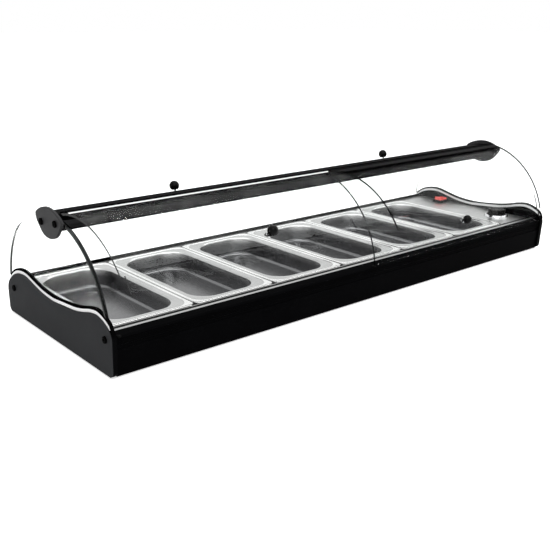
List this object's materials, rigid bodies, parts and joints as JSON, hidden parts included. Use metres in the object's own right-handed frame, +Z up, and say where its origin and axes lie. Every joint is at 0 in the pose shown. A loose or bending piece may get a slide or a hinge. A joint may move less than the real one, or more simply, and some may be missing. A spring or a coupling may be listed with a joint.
{
  "type": "bain-marie display",
  "caption": "Countertop bain-marie with lift-out food pans in a heated water well, curved tilting screens front and rear, clear sides, moulded ends and a dial and rocker switch.",
  "frame": {"origin": "on the worktop, at the centre of the rectangle of the feet, under the middle of the base", "axes": "+X to the right along the length seen from the front, +Y to the rear, +Z up"},
  "size_m": [1.199, 0.4823, 0.2502],
  "materials": {
    "base_tray": "zinc-grey sheet steel",
    "fascia": "glossy black moulding",
    "end_panel": "dark charcoal satin moulding",
    "bright_trim": "bright plated strip",
    "seal": "black rubber",
    "screen": "clear toughened glass",
    "steel": "brushed stainless steel",
    "foot_rubber": "black rubber",
    "beam": "black anodised extrusion",
    "bracket": "black moulding",
    "black_screw": "blackened steel",
    "buffer": "black rubber",
    "dark_plastic": "black moulding",
    "spindle": "turned steel",
    "dial": "black satin moulding",
    "rocker": "translucent red",
    "terminal": "natural nylon",
    "gland": "black nylon",
    "element": "steel sheath",
    "bulb": "copper bulb and line",
    "pan_steel": "polished stainless steel",
    "hinge": "black anodised strip",
    "ball": "glossy black ball",
    "bright_screw": "bright plated steel"
  },
  "bodies": {
    "base": {"base_tray": "base_tray", "front_fascia": "fascia", "rear_fascia": "fascia", "end_panel_left": "end_panel", "end_panel_right": "end_panel", "end_trim_left": "bright_trim", "end_trim_right": "bright_trim", "glass_seal_left": "seal", "glass_seal_right": "seal", "side_screen_left": "screen", "side_screen_right": "screen", "steel_deck": "steel", "water_well": "steel", "pan_bars": "steel", "rubber_feet": "foot_rubber", "beam": "beam", "beam_bracket_left": "bracket", "beam_bracket_right": "bracket", "bracket_screws": "black_screw", "end_panel_screws": "black_screw", "screen_buffers": "buffer", "thermostat_body": "dark_plastic", "knob_bezel": "bright_trim", "rocker_body": "dark_plastic", "terminal_block": "terminal", "cable_gland": "gland", "heating_element": "element", "element_clips": "steel", "sensing_bulb": "bulb"},
    "front_left_screen": {"front_screen_left": "screen", "front_hinge_left": "hinge", "front_knob_left": "ball", "front_knob_screw_left": "bright_screw"},
    "rear_left_screen": {"rear_screen_left": "screen", "rear_hinge_left": "hinge", "rear_knob_left": "ball", "rear_knob_screw_left": "bright_screw"},
    "front_right_screen": {"front_screen_right": "screen", "front_hinge_right": "hinge", "front_knob_right": "ball", "front_knob_screw_right": "bright_screw"},
    "rear_right_screen": {"rear_screen_right": "screen", "rear_hinge_right": "hinge", "rear_knob_right": "ball", "rear_knob_screw_right": "bright_screw"},
    "heat_dial": {"thermostat_knob": "dial", "thermostat_spindle": "spindle"},
    "switch_key": {"rocker_key": "rocker"},
    "food_pan_1": {"pan_1": "pan_steel"},
    "food_pan_2": {"pan_2": "pan_steel"},
    "food_pan_3": {"pan_3": "pan_steel"},
    "food_pan_4": {"pan_4": "pan_steel"},
    "food_pan_5": {"pan_5": "pan_steel"},
    "food_pan_6": {"pan_6": "pan_steel"}
  },
  "joints": [
    {"name": "front_left_hinge", "type": "hinge", "parent": "base", "child": "front_left_screen", "pos_m": [0, -0.0468, 0.2393], "axis": [-1, 0, 0], "range_deg": [-26.5, 48.5]},
    {"name": "front_right_hinge", "type": "hinge", "parent": "base", "child": "front_right_screen", "pos_m": [0, -0.0468, 0.2393], "axis": [-1, 0, 0], "range_deg": [0, 75]},
    {"name": "rear_left_hinge", "type": "hinge", "parent": "base", "child": "rear_left_screen", "pos_m": [0, 0.2011, 0.049], "axis": [-1, 0, 0], "range_deg": [0, 100]},
    {"name": "rear_right_hinge", "type": "hinge", "parent": "base", "child": "rear_right_screen", "pos_m": [0, 0.2011, 0.049], "axis": [-1, 0, 0], "range_deg": [0, 100]},
    {"name": "heat_dial_turn", "type": "hinge", "parent": "base", "child": "heat_dial", "pos_m": [0.542, -0.107, 0.08], "axis": [0, 0, -1], "range_deg": [0, 300]},
    {"name": "switch_tilt", "type": "hinge", "parent": "base", "child": "switch_key", "pos_m": [0.563, 0.087, 0.078], "axis": [0, -1, 0], "range_deg": [0, 18]},
    {"name": "pan_1_lift", "type": "slide", "parent": "base", "child": "food_pan_1", "axis": [0, 0, 1], "range_m": [0, 0.06]},
    {"name": "pan_2_lift", "type": "slide", "parent": "base", "child": "food_pan_2", "axis": [0, 0, 1], "range_m": [0, 0.06]},
    {"name": "pan_3_lift", "type": "slide", "parent": "base", "child": "food_pan_3", "axis": [0, 0, 1], "range_m": [0, 0.06]},
    {"name": "pan_4_lift", "type": "slide", "parent": "base", "child": "food_pan_4", "axis": [0, 0, 1], "range_m": [0, 0.06]},
    {"name": "pan_5_lift", "type": "slide", "parent": "base", "child": "food_pan_5", "axis": [0, 0, 1], "range_m": [0, 0.06]},
    {"name": "pan_6_lift", "type": "slide", "parent": "base", "child": "food_pan_6", "axis": [0, 0, 1], "range_m": [0, 0.06]}
  ]
}
